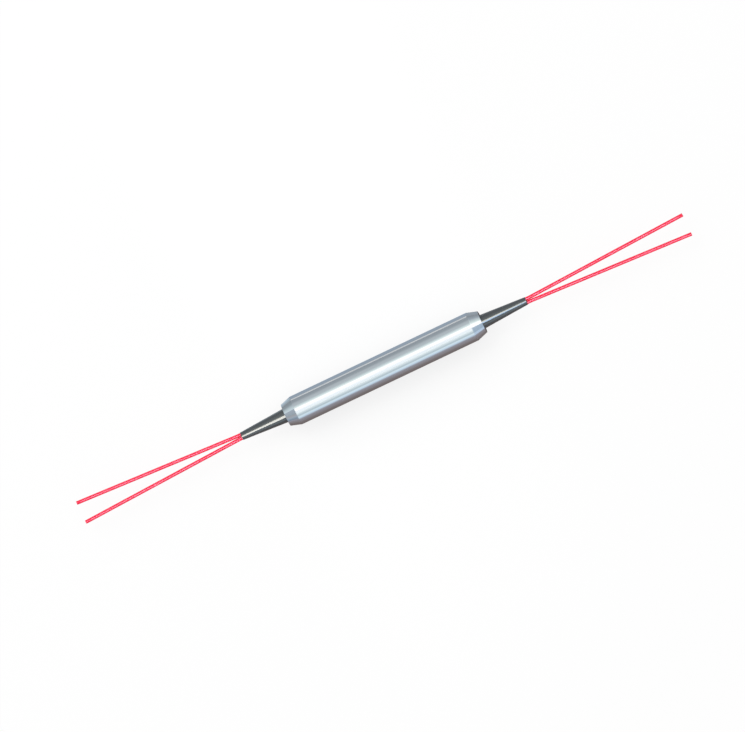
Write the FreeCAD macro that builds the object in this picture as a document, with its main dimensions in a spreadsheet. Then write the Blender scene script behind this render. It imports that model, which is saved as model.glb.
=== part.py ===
import FreeCAD, Part
import math
import os
import Sketcher

# Polarization maintaining fibre coupler, two fibres in and two out, in millimetres.
# The coupler lies along X, with its axis at the origin, +Z up and the two fibres
# of each end side by side in the horizontal plane.

DRIVING_SIZES = {
    # Polished outer housing: a straight tube closed by two turned conical caps.
    "housing_diameter": 7.5,
    "housing_wall": 0.5,
    "housing_length": 48.4,
    "cap_cone_length": 2.8,
    "cap_cone_drop": 0.9,
    "cap_edge": 0.08,
    "cap_face_wall": 1.4,
    "spigot_length": 4.0,
    "seat_clearance": 0.02,
    # Rubber boots, each held in its cap by a flange. The base is a share of the housing.
    "boot_base_share": 0.48,
    "boot_tip_wall": 0.08,
    "boot_length": 12.1,
    "boot_flange_step": 0.5,
    "boot_flange_thickness": 1.2,
    "boot_grip": 0.01,
    # Loose tubes, two at each end. Reach, spread and droop are those of the free length.
    "tube_diameter": 0.9,
    "tube_wall": 0.2,
    "tube_gap": 0.02,
    "tube_tail": 0.5,
    "anchor_length": 2.0,
    "pigtail_reach": 44.05,
    "pigtail_spread": 2.15,
    "pigtail_droop": 0.4,
    "mouth_run": 0.9,
    # Coated fibre, and the bare glass that is fused.
    "fibre_diameter": 0.25,
    "fibre_gap": 0.01,
    "glass_diameter": 0.125,
    "glass_leg_length": 5.5,
    "fused_web": 0.004,
    "waist_length": 2.4,
    "waist_height": 0.04,
    "waist_pitch": 0.028,
    # Quartz rod with the groove, and the quartz sleeve round it.
    "nest_clearance": 0.05,
    "groove_margin": 0.02,
    "groove_clearance": 0.015,
    "bond_length": 2.4,
    "bond_inset": 0.8,
    "bond_top": 0.35,
    "coated_grip": 1.7,
    "sleeve_wall": 0.25,
    "sleeve_plug_length": 1.2,
    "sleeve_plug_recess": 0.2,
    "sleeve_plug_gap": 0.2,
    # Inner steel tube, its seals and the rings that centre it in the housing.
    "inner_tube_diameter": 3.0,
    "inner_tube_wall": 0.25,
    "inner_tube_gap": 4.4,
    "inner_seal_length": 1.4,
    "inner_seal_recess": 0.4,
    "inner_seal_gap": 0.6,
    "ring_length": 3.0,
    "ring_inset": 3.0,
}

doc = FreeCAD.newDocument("fibre_coupler")
sheet = doc.addObject("Spreadsheet::Sheet", "sizes")
for row, (alias, value) in enumerate(DRIVING_SIZES.items(), start=1):
    sheet.set(f"A{row}", alias)
    sheet.set(f"B{row}", str(value))
    sheet.setAlias(f"B{row}", alias)
doc.recompute()

# Places along the right half of the axis, each worked out from the sizes it depends on.
TUBE_END = "(sizes.housing_length / 2)"
CAP_FACE = f"({TUBE_END} + sizes.cap_cone_length)"
CAP_SHELF = f"({CAP_FACE} - sizes.cap_face_wall)"
SPIGOT_END = f"({TUBE_END} - sizes.spigot_length)"
BOOT_TIP = f"({CAP_FACE} + sizes.boot_length)"
BOOT_INNER_END = f"({CAP_SHELF} - sizes.boot_flange_thickness)"
ANCHOR_END = f"({BOOT_INNER_END} - sizes.anchor_length)"
TUBE_INNER_END = f"({ANCHOR_END} - sizes.tube_tail)"
BEND_CORNER = f"({BOOT_TIP} + sizes.mouth_run)"
PIGTAIL_END = f"({BOOT_TIP} + sizes.pigtail_reach)"
FIBRE_JOIN = f"({CAP_FACE} + sizes.boot_length / 2)"
INNER_TUBE_END = f"({ANCHOR_END} - sizes.inner_tube_gap)"
SEAL_OUTER = f"({INNER_TUBE_END} - sizes.inner_seal_recess)"
SEAL_INNER = f"({SEAL_OUTER} - sizes.inner_seal_length)"
SLEEVE_END = f"({SEAL_INNER} - sizes.inner_seal_gap)"
PLUG_OUTER = f"({SLEEVE_END} - sizes.sleeve_plug_recess)"
PLUG_INNER = f"({PLUG_OUTER} - sizes.sleeve_plug_length)"
SUBSTRATE_END = f"({PLUG_INNER} - sizes.sleeve_plug_gap)"
BOND_OUTER = f"({SUBSTRATE_END} - sizes.bond_inset)"
BOND_INNER = f"({BOND_OUTER} - sizes.bond_length)"
GLASS_END = f"({BOND_OUTER} - sizes.coated_grip)"
FUSED_END = f"({GLASS_END} - sizes.glass_leg_length)"
RING_OUTER = f"({INNER_TUBE_END} - sizes.ring_inset)"
RING_INNER = f"({RING_OUTER} - sizes.ring_length)"

# Radii of the nested pieces, each inside the one before it.
HOUSING_RADIUS = "(sizes.housing_diameter / 2)"
HOUSING_BORE_RADIUS = f"({HOUSING_RADIUS} - sizes.housing_wall)"
SPIGOT_RADIUS = f"({HOUSING_BORE_RADIUS} - sizes.seat_clearance)"
CAP_FACE_RADIUS = f"({HOUSING_RADIUS} - sizes.cap_cone_drop)"
BOOT_NECK_RADIUS = f"({HOUSING_RADIUS} * sizes.boot_base_share)"
BOOT_FLANGE_RADIUS = f"({BOOT_NECK_RADIUS} + sizes.boot_flange_step)"
INNER_TUBE_RADIUS = "(sizes.inner_tube_diameter / 2)"
INNER_BORE_RADIUS = f"({INNER_TUBE_RADIUS} - sizes.inner_tube_wall)"
SLEEVE_RADIUS = f"({INNER_BORE_RADIUS} - sizes.nest_clearance)"
SLEEVE_BORE_RADIUS = f"({SLEEVE_RADIUS} - sizes.sleeve_wall)"
SUBSTRATE_RADIUS = f"({SLEEVE_BORE_RADIUS} - sizes.nest_clearance)"

# Two tubes, or two fibres, side by side: how far apart their centres are, and the
# passage that a boot or a plug leaves for them.
TUBE_PITCH = "(sizes.tube_diameter + sizes.tube_gap)"
TUBE_PASSAGE = "(sizes.tube_diameter + 2 * sizes.boot_grip)"
BOOT_TIP_RADIUS = f"(({TUBE_PITCH} + {TUBE_PASSAGE}) / 2 + sizes.boot_tip_wall)"
FIBRE_PITCH = "(sizes.fibre_diameter + sizes.fibre_gap)"
FIBRE_PASSAGE = "(sizes.fibre_diameter + 2 * sizes.boot_grip)"
FUSED_PITCH = "(sizes.glass_diameter + sizes.fused_web)"
TUBE_OFFSET = f"({TUBE_PITCH} / 2)"
FIBRE_OFFSET = f"({FIBRE_PITCH} / 2)"


def fibre_offset_at(place):
    """How far a coated fibre is from the axis, between the glass and the tube anchor."""
    share = f"({place} - {GLASS_END}) / ({ANCHOR_END} - {GLASS_END})"
    return f"({FIBRE_OFFSET} + ({TUBE_OFFSET} - {FIBRE_OFFSET}) * {share})"


# The groove in the quartz rod, sized by the coated fibres where they leave it.
GROOVE_REACH = f"{fibre_offset_at(SUBSTRATE_END)} + sizes.fibre_diameter / 2"
GROOVE_WALL = f"({GROOVE_REACH} + sizes.groove_margin)"
GROOVE_FLOOR = "-(sizes.fibre_diameter / 2 + sizes.groove_clearance)"

# The free length of a pigtail: it leaves the boot on an arc that starts at the mouth.
FREE_RUN = f"({PIGTAIL_END} - {BEND_CORNER})"
FREE_SLANT = "sqrt(pow(sizes.pigtail_spread; 2) + pow(sizes.pigtail_droop; 2))"
MOUTH_RADIUS = f"(sizes.mouth_run / tan(atan({FREE_SLANT} / {FREE_RUN}) / 2))"

# The draw thins the fused fibres by an equal share at each step towards the waist.
TAPER_STEPS = 4
ADDED = "PartDesign::AdditivePipe"
CAST_ROUND = "PartDesign::SubtractivePipe"
SIDES = {"left": -1, "right": 1}
ROWS = {"upper": 1, "lower": -1}
nodes = []


def value_of(expression):
    """The number that an expression has with the present sizes."""
    return float(sheet.evalExpression(expression))


def new_body(label):
    body = doc.addObject("PartDesign::Body", label)
    body.Label = label
    nodes.append(body)
    return body


def new_sketch(body, name, plane):
    """An empty sketch on one of the body's own origin planes."""
    sketch = body.newObject("Sketcher::SketchObject", name)
    support = next(f for f in body.Origin.OriginFeatures if f.Role == plane)
    sketch.AttachmentSupport = [(support, "")]
    sketch.MapMode = "FlatFace"
    return sketch


def cross_sketch(body, name, place):
    """An empty sketch square to the axis, at a place along it."""
    sketch = new_sketch(body, name, "YZ_Plane")
    sketch.setExpression(".AttachmentOffset.Base.z", place)
    return sketch


def bind(sketch, name, kind, *arguments):
    """Adds one named dimension to a sketch and ties it to an expression."""
    *where, expression = arguments
    index = sketch.addConstraint(Sketcher.Constraint(kind, *where, value_of(expression)))
    sketch.renameConstraint(index, name)
    sketch.setExpression(f"Constraints.{name}", expression)


def pin_point(sketch, name, element, end, across, up):
    """Fixes a point of a sketch by its two distances from the sketch's origin."""
    bind(sketch, f"{name}_across", "DistanceX", -1, 1, element, end, across)
    bind(sketch, f"{name}_up", "DistanceY", -1, 1, element, end, up)


def point_at(across, up):
    return FreeCAD.Vector(value_of(across), value_of(up), 0)


def draw_outline(sketch, corners):
    """A closed outline of straight lines through corners given as expressions."""
    points = [point_at(*corner) for corner in corners]
    count = len(points)
    for i in range(count):
        sketch.addGeometry(Part.LineSegment(points[i], points[(i + 1) % count]))
    for i in range(count):
        sketch.addConstraint(Sketcher.Constraint("Coincident", i, 2, (i + 1) % count, 1))
        pin_point(sketch, f"corner{i}", i, 1, *corners[i])


def draw_circle(sketch, name, diameter, across="0", up="0"):
    circle = Part.Circle(point_at(across, up), FreeCAD.Vector(0, 0, 1), value_of(diameter) / 2)
    element = sketch.addGeometry(circle)
    pin_point(sketch, name, element, 3, across, up)
    bind(sketch, f"{name}_diameter", "Diameter", element, diameter)


def draw_slot(sketch, name, height, pitch):
    """A round-ended slot, level and centred: the outline of two circles side by side."""
    radius = value_of(height) / 2
    offset = value_of(pitch) / 2
    up = FreeCAD.Vector(0, 0, 1)
    quarter = math.pi / 2
    right_circle = Part.Circle(FreeCAD.Vector(offset, 0, 0), up, radius)
    left_circle = Part.Circle(FreeCAD.Vector(-offset, 0, 0), up, radius)
    right = sketch.addGeometry(Part.ArcOfCircle(right_circle, -quarter, quarter))
    left = sketch.addGeometry(Part.ArcOfCircle(left_circle, quarter, 3 * quarter))
    top_ends = [FreeCAD.Vector(offset, radius, 0), FreeCAD.Vector(-offset, radius, 0)]
    low_ends = [FreeCAD.Vector(-offset, -radius, 0), FreeCAD.Vector(offset, -radius, 0)]
    top = sketch.addGeometry(Part.LineSegment(*top_ends))
    low = sketch.addGeometry(Part.LineSegment(*low_ends))
    for one, one_end, other, other_end in (
        (right, 2, top, 1),
        (top, 2, left, 1),
        (left, 2, low, 1),
        (low, 2, right, 1),
    ):
        sketch.addConstraint(Sketcher.Constraint("Tangent", one, one_end, other, other_end))
    sketch.addConstraint(Sketcher.Constraint("Equal", right, left))
    bind(sketch, f"{name}_end_diameter", "Diameter", right, height)
    pin_point(sketch, f"{name}_right", right, 3, f"({pitch}) / 2", "0")
    pin_point(sketch, f"{name}_left", left, 3, f"-({pitch}) / 2", "0")


def draw_runs(sketch, corners):
    """Straight runs from corner to corner, with the corners given as expressions."""
    points = [point_at(*corner) for corner in corners]
    for i in range(len(points) - 1):
        sketch.addGeometry(Part.LineSegment(points[i], points[i + 1]))
        pin_point(sketch, f"corner{i}", i, 1, *corners[i])
        if i:
            sketch.addConstraint(Sketcher.Constraint("Coincident", i - 1, 2, i, 1))
    pin_point(sketch, "finish", len(points) - 2, 2, *corners[-1])


def draw_bent_runs(sketch, corners, radii):
    """Straight runs through corners given as expressions, joined by tangent arcs."""
    points = [point_at(*corner) for corner in corners]
    turns = []
    for i, radius in enumerate(radii, start=1):
        back = (points[i - 1] - points[i]).normalize()
        ahead = (points[i + 1] - points[i]).normalize()
        half_turn = (math.pi - back.getAngle(ahead)) / 2
        reach = value_of(radius) * math.tan(half_turn)
        middle = (back + ahead).normalize()
        inward = value_of(radius) * (1 / math.cos(half_turn) - 1)
        turns.append(
            (points[i] + back * reach, points[i] + middle * inward, points[i] + ahead * reach)
        )
    starts = [points[0]] + [turn[2] for turn in turns]
    ends = [turn[0] for turn in turns] + [points[-1]]
    runs = [sketch.addGeometry(Part.LineSegment(a, b)) for a, b in zip(starts, ends)]
    pin_point(sketch, "start", runs[0], 1, *corners[0])
    pin_point(sketch, "finish", runs[-1], 2, *corners[-1])
    for i, (begin, middle, end) in enumerate(turns):
        arc = Part.Arc(begin, middle, end)
        bend = sketch.addGeometry(arc)
        corner = sketch.addGeometry(Part.Point(points[i + 1]), True)
        pin_point(sketch, f"corner{i}", corner, 1, *corners[i + 1])
        sketch.addConstraint(Sketcher.Constraint("PointOnObject", corner, 1, runs[i]))
        sketch.addConstraint(Sketcher.Constraint("PointOnObject", corner, 1, runs[i + 1]))
        first, last = arc_ends(sketch, bend, begin)
        sketch.addConstraint(Sketcher.Constraint("Tangent", runs[i], 2, bend, first))
        sketch.addConstraint(Sketcher.Constraint("Tangent", bend, last, runs[i + 1], 1))
        bind(sketch, f"bend{i}", "Radius", bend, radii[i])


def arc_ends(sketch, bend, begin):
    """Which end of a drawn arc lies at the point where it begins, and which at the other."""
    starts_there = sketch.getPoint(bend, 1).distanceToPoint(begin) < 1e-6
    return (1, 2) if starts_there else (2, 1)


def revolve(body, name, corners):
    """A full turn of an outline round the axis. A corner is (place along X, radius)."""
    sketch = new_sketch(body, f"{name}_profile", "XY_Plane")
    draw_outline(sketch, corners)
    turned = body.newObject("PartDesign::Revolution", name)
    turned.Profile = sketch
    turned.ReferenceAxis = (sketch, ["H_Axis"])
    turned.Angle = 360
    return turned


def extend(body, name, sketch, length, kind="PartDesign::Pad", both_ways=False):
    """Pads or pockets a sketch along +X, or as far to each side."""
    feature = body.newObject(kind, name)
    feature.Profile = sketch
    feature.setExpression("Length", length)
    if both_ways:
        feature.SideType = "Symmetric"
    elif kind == "PartDesign::Pocket":
        feature.Reversed = True
    return feature


def sweep(body, name, profile, spine, kind, facing="Fixed"):
    """Carries an outline along a path. Fixed keeps it facing as drawn, Frenet turns it."""
    swept = body.newObject(kind, name)
    swept.Profile = profile
    swept.Spine = spine
    swept.Mode = facing


def loft(body, name, sections):
    lofted = body.newObject("PartDesign::AdditiveLoft", name)
    lofted.Profile = sections[0]
    lofted.Sections = sections[1:]
    lofted.Ruled = True


def mirrored(side, place):
    """The same place on the left or right half."""
    return f"{side} * ({place})"


def low_end(side, inner, outer):
    """The end nearer -X of a piece that runs from inner to outer on one half."""
    return inner if side > 0 else f"-({outer})"


def hollow_tube(label, radius, bore_radius, half_length):
    """A tube centred on the origin, as wide and as long as it is told."""
    body = new_body(label)
    outline = cross_sketch(body, "wall_outline", "0")
    draw_circle(outline, "outside", f"2 * {radius}")
    draw_circle(outline, "inside", f"2 * {bore_radius}")
    extend(body, "wall", outline, f"2 * {half_length}", both_ways=True)


def end_cap(end, side):
    """A turned cap: cone outside, spigot in the housing, and a stepped bore for the boot."""
    mouth = f"({BOOT_NECK_RADIUS} + sizes.seat_clearance)"
    counterbore = f"({BOOT_FLANGE_RADIUS} + sizes.seat_clearance)"
    edge_rise = "(sizes.cap_edge * sizes.cap_cone_drop / sizes.cap_cone_length)"
    profile = [
        (CAP_FACE, mouth),
        (CAP_FACE, f"{CAP_FACE_RADIUS} - sizes.cap_edge"),
        (f"{CAP_FACE} - sizes.cap_edge", f"{CAP_FACE_RADIUS} + {edge_rise}"),
        (TUBE_END, HOUSING_RADIUS),
        (TUBE_END, SPIGOT_RADIUS),
        (SPIGOT_END, SPIGOT_RADIUS),
        (SPIGOT_END, counterbore),
        (CAP_SHELF, counterbore),
        (CAP_SHELF, mouth),
    ]
    body = new_body(f"{end}_end_cap")
    revolve(body, "turned_cap", [(mirrored(side, x), radius) for x, radius in profile])


def boot(end, side):
    """A tapered rubber boot with a flange inside the cap and one bore for both tubes."""
    profile = [
        (BOOT_INNER_END, "0"),
        (BOOT_INNER_END, BOOT_FLANGE_RADIUS),
        (CAP_SHELF, BOOT_FLANGE_RADIUS),
        (CAP_SHELF, BOOT_NECK_RADIUS),
        (CAP_FACE, BOOT_NECK_RADIUS),
        (BOOT_TIP, BOOT_TIP_RADIUS),
        (BOOT_TIP, "0"),
    ]
    body = new_body(f"{end}_boot")
    revolve(body, "moulded_boot", [(mirrored(side, x), radius) for x, radius in profile])
    bore = cross_sketch(body, "bore_outline", low_end(side, BOOT_INNER_END, BOOT_TIP))
    draw_slot(bore, "bore", TUBE_PASSAGE, TUBE_PITCH)
    extend(body, "tube_bore", bore, f"{BOOT_TIP} - {BOOT_INNER_END}", "PartDesign::Pocket")


def plug(label, side, inner, outer, radius, passage, pitch):
    """A round plug on the axis from inner to outer, with a slot that two leads pass through."""
    body = new_body(label)
    outline = cross_sketch(body, "plug_outline", low_end(side, inner, outer))
    draw_circle(outline, "rim", f"2 * {radius}")
    draw_slot(outline, "passage", passage, pitch)
    extend(body, "plug_pad", outline, f"{outer} - {inner}")


def plugs(end, side):
    """The cast or pressed plugs of one end: tube anchor, inner tube seal and sleeve plug."""
    seal_radius = f"({INNER_BORE_RADIUS} - sizes.seat_clearance)"
    plug_radius = f"({SLEEVE_BORE_RADIUS} - sizes.seat_clearance)"
    tubes = (TUBE_PASSAGE, TUBE_PITCH)
    at_seal = (FIBRE_PASSAGE, f"2 * {fibre_offset_at(SEAL_OUTER)}")
    at_sleeve = (FIBRE_PASSAGE, f"2 * {fibre_offset_at(PLUG_OUTER)}")
    plug(f"{end}_tube_anchor", side, ANCHOR_END, BOOT_INNER_END, BOOT_FLANGE_RADIUS, *tubes)
    plug(f"{end}_inner_seal", side, SEAL_INNER, SEAL_OUTER, seal_radius, *at_seal)
    plug(f"{end}_sleeve_plug", side, PLUG_INNER, PLUG_OUTER, plug_radius, *at_sleeve)


def support_ring(end, side):
    """A plain ring that slides into the housing and centres the inner tube."""
    body = new_body(f"{end}_support_ring")
    outline = cross_sketch(body, "ring_outline", low_end(side, RING_INNER, RING_OUTER))
    draw_circle(outline, "outside", f"2 * {SPIGOT_RADIUS}")
    draw_circle(outline, "inside", f"2 * ({INNER_TUBE_RADIUS} + sizes.seat_clearance)")
    extend(body, "ring", outline, "sizes.ring_length")


def groove_outline(body, place, top):
    """The groove's outline, level with the coated fibres at its floor and open to top."""
    sketch = cross_sketch(body, "groove_outline", place)
    left, right = f"-{GROOVE_WALL}", GROOVE_WALL
    draw_outline(sketch, [(left, GROOVE_FLOOR), (right, GROOVE_FLOOR), (right, top), (left, top)])
    return sketch


def quartz_substrate():
    """A quartz rod with one straight groove, open upwards, that holds the fused length."""
    body = new_body("quartz_substrate")
    outline = cross_sketch(body, "rod_outline", "0")
    draw_circle(outline, "rod", f"2 * {SUBSTRATE_RADIUS}")
    extend(body, "rod", outline, f"2 * {SUBSTRATE_END}", both_ways=True)
    groove = groove_outline(body, "0", f"2 * {SUBSTRATE_RADIUS}")
    past_both_ends = f"2 * ({SUBSTRATE_END} + {SUBSTRATE_RADIUS})"
    extend(body, "groove", groove, past_both_ends, "PartDesign::Pocket", both_ways=True)


def fibre_bond(end, side):
    """Adhesive in the groove's end, cast round the coated fibres and the start of the glass."""
    body = new_body(f"{end}_fibre_bond")
    block = groove_outline(body, low_end(side, BOND_INNER, BOND_OUTER), "sizes.bond_top")
    extend(body, "bond_block", block, "sizes.bond_length")
    for lead, row in ROWS.items():
        glass_leg(body, f"{lead}_glass_passage", side, row, CAST_ROUND)
        leaning_fibre(body, f"{lead}_coated_passage", side, row, [ANCHOR_END], CAST_ROUND)


def glass_leg(body, name, side, row, kind):
    """One bare fibre between its coating and the end of the fused length."""
    coated_end = (mirrored(side, GLASS_END), f"{row} * {FIBRE_OFFSET}")
    fused_end = (mirrored(side, FUSED_END), f"{row} * {FUSED_PITCH} / 2")
    path = new_sketch(body, f"{name}_path", "XY_Plane")
    draw_runs(path, [coated_end, fused_end])
    outline = cross_sketch(body, f"{name}_outline", coated_end[0])
    draw_circle(outline, "glass", "sizes.glass_diameter", coated_end[1])
    sweep(body, name, outline, path, kind)


def leaning_fibre(body, name, side, row, stops, kind):
    """One coated fibre from the glass outwards, leaning over until it lies in its tube."""
    coated_end = (mirrored(side, GLASS_END), f"{row} * {FIBRE_OFFSET}")
    in_tube = [(mirrored(side, stop), f"{row} * {TUBE_OFFSET}") for stop in stops]
    path = new_sketch(body, f"{name}_path", "XY_Plane")
    draw_runs(path, [coated_end, *in_tube])
    outline = cross_sketch(body, f"{name}_outline", coated_end[0])
    draw_circle(outline, "coating", "sizes.fibre_diameter", coated_end[1])
    sweep(body, name, outline, path, kind)


def fused_fibre_pair():
    """Two bare glass fibres that meet, fuse and draw down together to one waist."""
    body = new_body("fused_fibre_pair")
    drawn = f"({FUSED_END} - sizes.waist_length / 2)"
    half = []
    for step in range(TAPER_STEPS + 1):
        share = step / TAPER_STEPS
        height = f"{FUSED_PITCH} * pow(sizes.waist_height / {FUSED_PITCH}; {share})"
        pitch = f"{FUSED_PITCH} * pow(sizes.waist_pitch / {FUSED_PITCH}; {share})"
        half.append((f"({FUSED_END} - {drawn} * {share})", height, pitch))
    stations = [(f"-{place}", height, pitch) for place, height, pitch in half] + half[::-1]
    sections = []
    for i, (place, height, pitch) in enumerate(stations):
        section = cross_sketch(body, f"taper_section{i}", place)
        draw_slot(section, "web", height, pitch)
        sections.append(section)
    loft(body, "drawn_taper", sections)
    for end, side in SIDES.items():
        for lead, row in ROWS.items():
            glass_leg(body, f"{end}_{lead}_leg", side, row, ADDED)


def dipping_sketch(body, name, row):
    """A sketch on the line of one tube, tilted so that its outward side dips a little."""
    sketch = new_sketch(body, name, "XY_Plane")
    tilt = FreeCAD.Rotation(FreeCAD.Vector(1, 0, 0), 1)
    sketch.AttachmentOffset = FreeCAD.Placement(FreeCAD.Vector(), tilt)
    dip = "atan(sizes.pigtail_droop / sizes.pigtail_spread)"
    sketch.setExpression(".AttachmentOffset.Rotation.Angle", f"{-row} * {dip}")
    sketch.setExpression(".AttachmentOffset.Base.y", f"{row} * {TUBE_OFFSET}")
    return sketch


def pigtail_corners(side, row, start):
    """The corners of one pigtail on its own sketch: out through the boot, then outwards."""
    return [
        (mirrored(side, start), "0"),
        (mirrored(side, BEND_CORNER), "0"),
        (mirrored(side, PIGTAIL_END), f"{row} * {FREE_SLANT}"),
    ]


def pigtail_tube(end, side, lead, row):
    """A loose tube from behind its anchor to the cut end, with an arc at the boot's mouth."""
    body = new_body(f"{end}_{lead}_pigtail_tube")
    path = dipping_sketch(body, "pigtail_path", row)
    draw_bent_runs(path, pigtail_corners(side, row, TUBE_INNER_END), [MOUTH_RADIUS])
    profile = cross_sketch(body, "tube_outline", mirrored(side, TUBE_INNER_END))
    centre = f"{row} * {TUBE_OFFSET}"
    draw_circle(profile, "outside", "sizes.tube_diameter", centre)
    draw_circle(profile, "inside", "sizes.tube_diameter - 2 * sizes.tube_wall", centre)
    sweep(body, "tube_wall", profile, path, ADDED, "Frenet")


def coated_fibre(end, side, lead, row):
    """One coated fibre: from the glass over to its tube, and inside that to the cut end."""
    body = new_body(f"{end}_{lead}_coated_fibre")
    leaning_fibre(body, "inner_fibre", side, row, [ANCHOR_END, FIBRE_JOIN], ADDED)
    path = dipping_sketch(body, "outer_path", row)
    draw_runs(path, pigtail_corners(side, row, FIBRE_JOIN))
    outline = cross_sketch(body, "join_outline", mirrored(side, FIBRE_JOIN))
    draw_circle(outline, "coating", "sizes.fibre_diameter", f"{row} * {TUBE_OFFSET}")
    sweep(body, "outer_fibre", outline, path, ADDED)


def check_document():
    """Every object has to be computed, and every piece has to be one valid solid."""
    for item in doc.Objects:
        if "Invalid" in item.State or "Error" in item.State:
            raise RuntimeError(f"{item.Label}: {item.State}")
    for body in nodes:
        if body.Shape.isNull() or not body.Shape.isValid() or len(body.Shape.Solids) != 1:
            raise RuntimeError(f"{body.Label} is not one valid solid")


def check_pigtails():
    """Prints the bend of the pigtails and compares each tube's volume with its length."""
    held = value_of(f"{BOOT_TIP} - {TUBE_INNER_END}")
    turn = math.atan(value_of(f"{FREE_SLANT} / {FREE_RUN}"))
    radius = value_of(MOUTH_RADIUS)
    slanted = math.hypot(value_of(FREE_RUN), value_of(FREE_SLANT))
    free = radius * turn + slanted - value_of("sizes.mouth_run")
    squares = "pow(sizes.tube_diameter; 2) - pow(sizes.tube_diameter - 2 * sizes.tube_wall; 2)"
    expected = math.pi / 4 * value_of(squares) * (held + free)
    print(f"pigtail bend: radius {radius:.1f} mm, turn {math.degrees(turn):.2f} degrees")
    print(f"pigtail length: {held:.2f} mm held and {free:.2f} mm free")
    for body in nodes:
        if body.Label.endswith("pigtail_tube"):
            share = body.Shape.Volume / expected
            print(f"{body.Label}: volume over section times length {share:.5f}")


hollow_tube("housing_tube", HOUSING_RADIUS, HOUSING_BORE_RADIUS, TUBE_END)
hollow_tube("inner_steel_tube", INNER_TUBE_RADIUS, INNER_BORE_RADIUS, INNER_TUBE_END)
hollow_tube("quartz_sleeve", SLEEVE_RADIUS, SLEEVE_BORE_RADIUS, SLEEVE_END)
quartz_substrate()
fused_fibre_pair()
for end, side in SIDES.items():
    end_cap(end, side)
    boot(end, side)
    plugs(end, side)
    support_ring(end, side)
    fibre_bond(end, side)
    for lead, row in ROWS.items():
        pigtail_tube(end, side, lead, row)
        coated_fibre(end, side, lead, row)

doc.recompute()
check_document()
check_pigtails()
os.makedirs("parts", exist_ok=True)
for body in nodes:
    body.Shape.exportStep(f"parts/{body.Label}.step")
print(len(nodes), "pieces written")
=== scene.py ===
import math
import bpy
from mathutils import Matrix, Vector


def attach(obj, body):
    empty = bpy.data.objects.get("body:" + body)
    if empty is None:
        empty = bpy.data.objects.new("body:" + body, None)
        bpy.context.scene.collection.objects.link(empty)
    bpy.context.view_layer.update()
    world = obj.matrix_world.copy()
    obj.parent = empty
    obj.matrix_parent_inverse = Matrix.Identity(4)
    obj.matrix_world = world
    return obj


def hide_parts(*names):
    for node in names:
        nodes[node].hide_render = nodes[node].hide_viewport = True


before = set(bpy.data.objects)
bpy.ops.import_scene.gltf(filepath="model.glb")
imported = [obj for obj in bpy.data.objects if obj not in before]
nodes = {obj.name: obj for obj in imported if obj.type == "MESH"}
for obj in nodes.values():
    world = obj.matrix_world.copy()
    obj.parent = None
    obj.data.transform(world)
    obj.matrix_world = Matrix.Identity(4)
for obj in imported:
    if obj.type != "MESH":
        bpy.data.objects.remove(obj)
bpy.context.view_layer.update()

# The part's lengths are in millimetres, as on the drawing, and MM brings them to metres.
# The camera, the lamps and the tent of cards are in metres.
# The coupler lies along X. +Y is its far side and +Z looks up at the camera.
MM = 0.001
HALF_TURN = math.pi
QUARTER_TURN = math.pi / 2

# Which way each end lies along X, and which way each of its two tubes lies along Y
ENDS = {"left": -1, "right": 1}
LEADS = {"upper": 1, "lower": -1}

# Housing tube and end caps, with places along X measured from the middle
HOUSING_RADIUS = 3.75
HOUSING_BORE = 3.25
TUBE_END = 24.2
CAP_FACE = 27.0
CAP_FACE_RADIUS = 2.85
CAP_SHELF = 25.6
CAP_MOUTH = 1.82
COUNTERBORE = 2.32
SPIGOT_END = 20.2
SPIGOT_RADIUS = 3.23

# The coupler lies on its housing.
FLOOR = -HOUSING_RADIUS

# Boots and the pair of loose tubes in them
BOOT_INNER_END = 24.4
BOOT_FLANGE = 2.3
BOOT_NECK = 1.8
BOOT_TIP = 39.1
BOOT_TIP_RADIUS = 1.0
TUBE_OFFSET = 0.46
TUBE_RADIUS = 0.45
TUBE_WALL = 0.2
SLOT_CLEARANCE = 0.01
CUTTER_MIDDLE = 32
CUTTER_LENGTH = 20

# The route of a right upper loose tube: straight to the corner, past it and on to the cut
PIGTAIL_START = 21.9
CORNER = 40.0
PAST_CORNER = (40.9, 0.5048, -0.0083)
PIGTAIL_END = (83.15, 2.61, -0.4)

# Broken edges. Rings held this far inside an edge keep the shine straight beside its break.
HELD = 0.12
HOUSING_BREAK = 0.025
CAP_BREAK = 0.03
BOOT_BREAK = 0.04
TUBE_BREAK = 0.025

# Flat faces that stand for a full round
FACES_AROUND = 192

# The photo, and where the middle of the coupler lies in it: pixels to the right of and above
# the middle of the picture
PHOTO_WIDTH = 745
MM_PER_PIXEL = 0.2473
COUPLER_IN_PHOTO = (11.56, -2.54)
CAMERA_LEAN = math.radians(4.0)
AXIS_RISE = math.radians(25.45)
CAMERA_HEIGHT = 0.6


# Camera

def place_camera():
    """Looks straight down, leaning a little to the right end, with the axis rising."""
    back = Vector((math.sin(CAMERA_LEAN), 0, math.cos(CAMERA_LEAN)))
    along = Vector((math.cos(CAMERA_LEAN), 0, -math.sin(CAMERA_LEAN)))
    across = Vector((0, 1, 0))
    right = along * math.cos(AXIS_RISE) - across * math.sin(AXIS_RISE)
    up = along * math.sin(AXIS_RISE) + across * math.cos(AXIS_RISE)
    offset = right * COUPLER_IN_PHOTO[0] + up * COUPLER_IN_PHOTO[1]
    centre = -offset * MM_PER_PIXEL * MM
    camera = bpy.data.objects.new("camera", bpy.data.cameras.new("camera"))
    turn = Matrix((right, up, back)).transposed().to_4x4()
    camera.matrix_world = Matrix.Translation(centre + back * CAMERA_HEIGHT) @ turn
    camera.data.type = "ORTHO"
    camera.data.ortho_scale = PHOTO_WIDTH * MM_PER_PIXEL * MM
    camera.data.clip_start = 0.01
    camera.data.clip_end = 10
    bpy.context.scene.collection.objects.link(camera)
    bpy.context.scene.camera = camera


place_camera()


# Materials

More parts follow.
